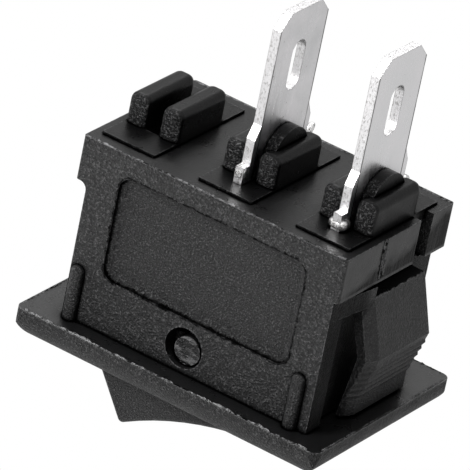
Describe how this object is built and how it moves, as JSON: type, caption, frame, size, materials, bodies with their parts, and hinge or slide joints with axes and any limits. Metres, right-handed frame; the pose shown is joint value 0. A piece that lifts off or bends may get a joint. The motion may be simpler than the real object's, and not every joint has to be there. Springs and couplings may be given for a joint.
{
  "type": "panel rocker switch",
  "caption": "Small snap-in panel rocker switch with a rectangular flange, toothed spring latches and solder tabs between guard bars.",
  "frame": {"origin": "middle of the flange's panel-side face, where it seats on the panel", "axes": "+Z out of the panel towards the finger, X along the long side of the flange, the blades point to -Z; the rocker's +X end is raised at rest (off)"},
  "size_m": [0.0152, 0.0102, 0.0196],
  "materials": {
    "black_body": "fine grained moulded nylon",
    "black_rocker": "satin moulded nylon",
    "tin_plate": "matte tin plated",
    "strip_brass": "bright rolled",
    "contact_silver": "polished",
    "plunger_plastic": "smooth acetal",
    "spring_steel": "drawn wire"
  },
  "bodies": {
    "body": {"housing": "black_body", "common_terminal": "tin_plate", "fixed_terminal": "tin_plate", "fixed_contact_rivet": "contact_silver"},
    "rocker_body": {"rocker": "black_rocker", "spring": "spring_steel"},
    "plunger_body": {"plunger": "plunger_plastic"},
    "contact_body": {"moving_contact": "strip_brass", "moving_contact_rivet": "contact_silver"}
  },
  "joints": [
    {"name": "rocker_hinge", "type": "hinge", "parent": "body", "child": "rocker_body", "pos_m": [0, 0, -0.00085], "axis": [0, 1, 0], "range_deg": [0, 32]},
    {"name": "contact_hinge", "type": "hinge", "parent": "body", "child": "contact_body", "pos_m": [0, 0, -0.00495], "axis": [0, -1, 0], "range_deg": [0, 18]},
    {"name": "plunger_slide", "type": "slide", "parent": "rocker_body", "child": "plunger_body", "axis": [-0.2756, 0, 0.9613], "range_m": [0, 0.0005], "stiffness_N_per_m": 60, "deforming": ["spring"]}
  ],
  "couplings": [
    {"joint": "contact_hinge", "follows": "rocker_hinge", "ratio": 0.5625}
  ]
}
